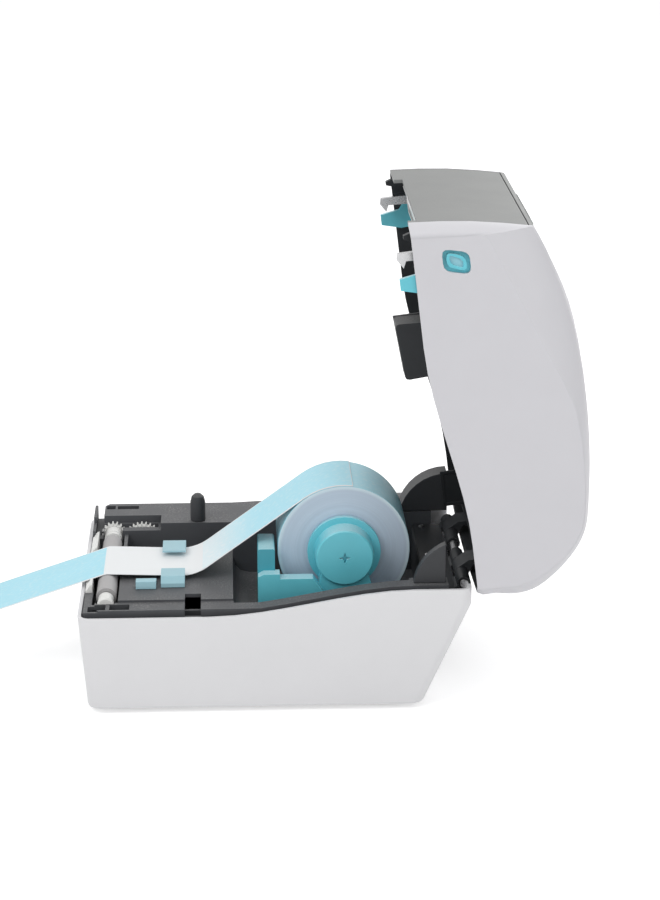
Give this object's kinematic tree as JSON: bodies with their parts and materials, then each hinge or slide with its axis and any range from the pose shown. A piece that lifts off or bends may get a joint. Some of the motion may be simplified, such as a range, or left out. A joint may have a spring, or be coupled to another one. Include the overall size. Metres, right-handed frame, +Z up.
{
  "type": "thermal label printer",
  "caption": "Desktop thermal label printer with a clamshell lid swung open, a label roll on sliding holders and a strip running over the platen.",
  "frame": {"origin": "on the surface it stands on, under the middle of the whole part with the lid open and the strip out", "axes": "+Z up, -Y towards the front where labels come out, +X to the right seen from the front"},
  "size_m": [0.208, 0.4367, 0.3371],
  "materials": {
    "white_shell": "fine matte light grey-white moulding",
    "grey_panel": "matte mid-grey moulding",
    "dark_frame": "matte dark grey moulding",
    "black_inner": "matte black moulding",
    "teal_touch": "satin teal moulding",
    "pale_teal": "satin pale teal moulding",
    "label_blue": "thin pale blue label stock",
    "core_card": "rolled card",
    "steel": "plain steel",
    "rubber_grey": "pale grey silicone rubber",
    "rubber_black": "black rubber",
    "nylon_white": "white nylon",
    "board_green": "green circuit board",
    "lamp_clear": "clear light pipe"
  },
  "bodies": {
    "base": {"base_housing": "white_shell", "rubber_foot_1": "rubber_black", "rubber_foot_2": "rubber_black", "rubber_foot_3": "rubber_black", "rubber_foot_4": "rubber_black", "inner_frame": "dark_frame", "front_bezel": "nylon_white", "lid_guide_post": "black_inner", "near_hinge_guard": "dark_frame", "far_hinge_guard": "dark_frame", "base_hinge_plate": "black_inner", "hinge_rod": "steel", "platen_bearing_near": "nylon_white", "platen_bearing_far": "nylon_white", "idler_axle": "steel", "drive_motor": "steel", "label_strip": "label_blue", "rear_port_panel": "dark_frame", "power_inlet": "rubber_black", "data_socket": "steel", "main_board": "board_green"},
    "lid": {"lid_shell": "white_shell", "lid_front_panel": "grey_panel", "tear_bar": "steel", "lid_liner": "black_inner", "head_bracket": "black_inner", "ribbon_carriage": "black_inner", "ribbon_side_plate": "black_inner", "lid_hinge_arm_1": "black_inner", "lid_hinge_arm_2": "black_inner", "status_lamp": "lamp_clear"},
    "platen": {"platen_shaft": "steel", "platen_rubber": "rubber_grey", "platen_gear": "nylon_white"},
    "idler": {"idler_gear": "nylon_white"},
    "pinion": {"motor_pinion": "steel"},
    "roll": {"label_roll": "label_blue", "roll_core": "core_card"},
    "near_holder": {"near_roll_holder": "teal_touch"},
    "far_holder": {"far_roll_holder": "teal_touch"},
    "near_guide": {"near_media_guide": "pale_teal"},
    "far_guide": {"far_media_guide": "pale_teal"},
    "sensor": {"media_sensor": "teal_touch"},
    "head": {"print_head": "nylon_white", "head_carrier": "steel", "head_leaf_spring": "steel"},
    "near_latch": {"near_release_latch": "teal_touch", "near_latch_hook": "steel"},
    "far_latch": {"far_release_latch": "teal_touch", "far_latch_hook": "steel"},
    "supply_hub_near": {"ribbon_supply_hub_near": "teal_touch"},
    "supply_hub_far": {"ribbon_supply_hub_far": "teal_touch"},
    "takeup_hub_near": {"ribbon_takeup_hub_near": "teal_touch"},
    "takeup_hub_far": {"ribbon_takeup_hub_far": "teal_touch"},
    "power_key": {"power_button": "grey_panel"},
    "pause_key": {"pause_button": "grey_panel"},
    "feed_key": {"feed_button": "grey_panel"}
  },
  "joints": [
    {"name": "lid_hinge", "type": "hinge", "parent": "base", "child": "lid", "pos_m": [0, 0.13, 0.0825], "axis": [1, 0, 0], "range_deg": [0, 83]},
    {"name": "platen_spin", "type": "hinge", "parent": "base", "child": "platen", "pos_m": [0, -0.115, 0.0715], "axis": [1, 0, 0], "continuous": true},
    {"name": "idler_spin", "type": "hinge", "parent": "base", "child": "idler", "pos_m": [0, -0.09398, 0.06499], "axis": [1, 0, 0], "continuous": true},
    {"name": "pinion_spin", "type": "hinge", "parent": "base", "child": "pinion", "pos_m": [0, -0.07984, 0.05085], "axis": [1, 0, 0], "continuous": true},
    {"name": "label_roll_spin", "type": "hinge", "parent": "base", "child": "roll", "pos_m": [0, 0.0493, 0.095], "axis": [1, 0, 0], "continuous": true},
    {"name": "near_holder_slide", "type": "slide", "parent": "base", "child": "near_holder", "axis": [1, 0, 0], "range_m": [0, 0.017]},
    {"name": "far_holder_slide", "type": "slide", "parent": "base", "child": "far_holder", "axis": [1, 0, 0], "range_m": [-0.017, 0]},
    {"name": "near_guide_slide", "type": "slide", "parent": "base", "child": "near_guide", "axis": [1, 0, 0], "range_m": [0, 0.016]},
    {"name": "far_guide_slide", "type": "slide", "parent": "base", "child": "far_guide", "axis": [1, 0, 0], "range_m": [-0.016, 0]},
    {"name": "sensor_slide", "type": "slide", "parent": "base", "child": "sensor", "axis": [1, 0, 0], "range_m": [-0.006, 0.016]},
    {"name": "head_float", "type": "slide", "parent": "lid", "child": "head", "axis": [0, 0.9925, 0.1219], "range_m": [0, 0.0025], "stiffness_N_per_m": 4000, "springref_m": -0.002},
    {"name": "near_latch_pivot", "type": "hinge", "parent": "lid", "child": "near_latch", "pos_m": [0.0973, 0.1362, 0.30693], "axis": [1, 0, 0], "range_deg": [-3.5, 0], "stiffness_Nm_per_rad": 0.4, "springref_deg": 8.59},
    {"name": "far_latch_pivot", "type": "hinge", "parent": "lid", "child": "far_latch", "pos_m": [-0.0973, 0.1362, 0.30693], "axis": [1, 0, 0], "range_deg": [-3.5, 0], "stiffness_Nm_per_rad": 0.4, "springref_deg": 8.59},
    {"name": "supply_near_spin", "type": "hinge", "parent": "lid", "child": "supply_hub_near", "pos_m": [0.078, 0.15238, 0.22432], "axis": [1, 0, 0], "continuous": true},
    {"name": "supply_far_spin", "type": "hinge", "parent": "lid", "child": "supply_hub_far", "pos_m": [-0.047, 0.15238, 0.22432], "axis": [1, 0, 0], "continuous": true},
    {"name": "takeup_near_spin", "type": "hinge", "parent": "lid", "child": "takeup_hub_near", "pos_m": [0.078, 0.1357, 0.28635], "axis": [1, 0, 0], "continuous": true},
    {"name": "takeup_far_spin", "type": "hinge", "parent": "lid", "child": "takeup_hub_far", "pos_m": [-0.047, 0.1357, 0.28635], "axis": [1, 0, 0], "continuous": true},
    {"name": "power_press", "type": "slide", "parent": "lid", "child": "power_key", "axis": [0, -0.8689, -0.4949], "range_m": [0, 0.0012], "stiffness_N_per_m": 1500, "springref_m": -0.0005},
    {"name": "pause_press", "type": "slide", "parent": "lid", "child": "pause_key", "axis": [0, -0.8677, -0.497], "range_m": [0, 0.0012], "stiffness_N_per_m": 1500, "springref_m": -0.0005},
    {"name": "feed_press", "type": "slide", "parent": "lid", "child": "feed_key", "axis": [0, -0.8689, -0.4949], "range_m": [0, 0.0012], "stiffness_N_per_m": 1500, "springref_m": -0.0005}
  ],
  "couplings": [
    {"joint": "idler_spin", "follows": "platen_spin", "ratio": -0.57143},
    {"joint": "pinion_spin", "follows": "platen_spin", "ratio": 1.3333},
    {"joint": "far_holder_slide", "follows": "near_holder_slide", "ratio": -1},
    {"joint": "far_guide_slide", "follows": "near_guide_slide", "ratio": -1}
  ]
}
